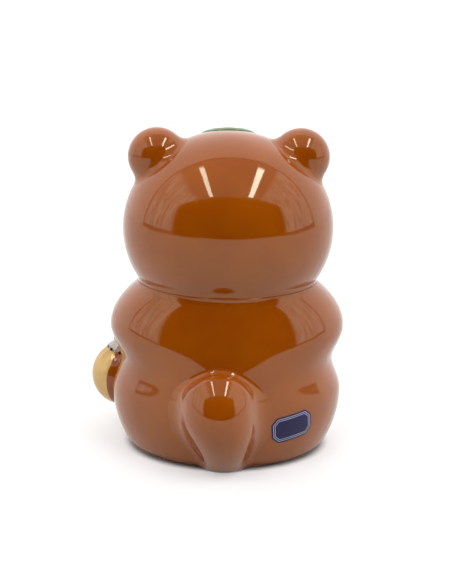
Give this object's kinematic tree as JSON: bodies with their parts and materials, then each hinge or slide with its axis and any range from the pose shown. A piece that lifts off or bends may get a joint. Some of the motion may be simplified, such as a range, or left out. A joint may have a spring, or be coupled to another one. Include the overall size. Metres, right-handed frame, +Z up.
{
  "type": "tanuki statue",
  "caption": "Seated glazed ceramic tanuki ornament with ball ears, a leaf on the crown, an upright plump tail and a money pouch at its side.",
  "frame": {"origin": "middle of the bounding box at the table, the level of the foot rim", "axes": "+Z up along the seated figure; the face looks towards -Y, the tail is at +Y and the figure's own left side, with the pouch, is at +X"},
  "size_m": [0.126, 0.1282, 0.1581],
  "materials": {
    "brown_glaze": "gloss",
    "cream_glaze": "gloss",
    "black_glaze": "gloss",
    "green_glaze": "gloss",
    "gold_lustre": "satin",
    "white_glaze": "gloss",
    "tie_glaze": "gloss",
    "bare_clay": "matte"
  },
  "bodies": {
    "root": {"torso_shell": "brown_glaze", "head_shell": "brown_glaze", "left_ear": "brown_glaze", "right_ear": "brown_glaze", "left_arm": "brown_glaze", "right_arm": "brown_glaze", "left_foot": "brown_glaze", "right_foot": "brown_glaze", "tail": "brown_glaze", "muzzle": "cream_glaze", "nose": "black_glaze", "left_eye": "black_glaze", "right_eye": "black_glaze", "leaf": "green_glaze", "pouch_body": "gold_lustre", "pouch_neck": "white_glaze", "pouch_tie": "tie_glaze", "base_disc": "bare_clay"}
  },
  "joints": []
}
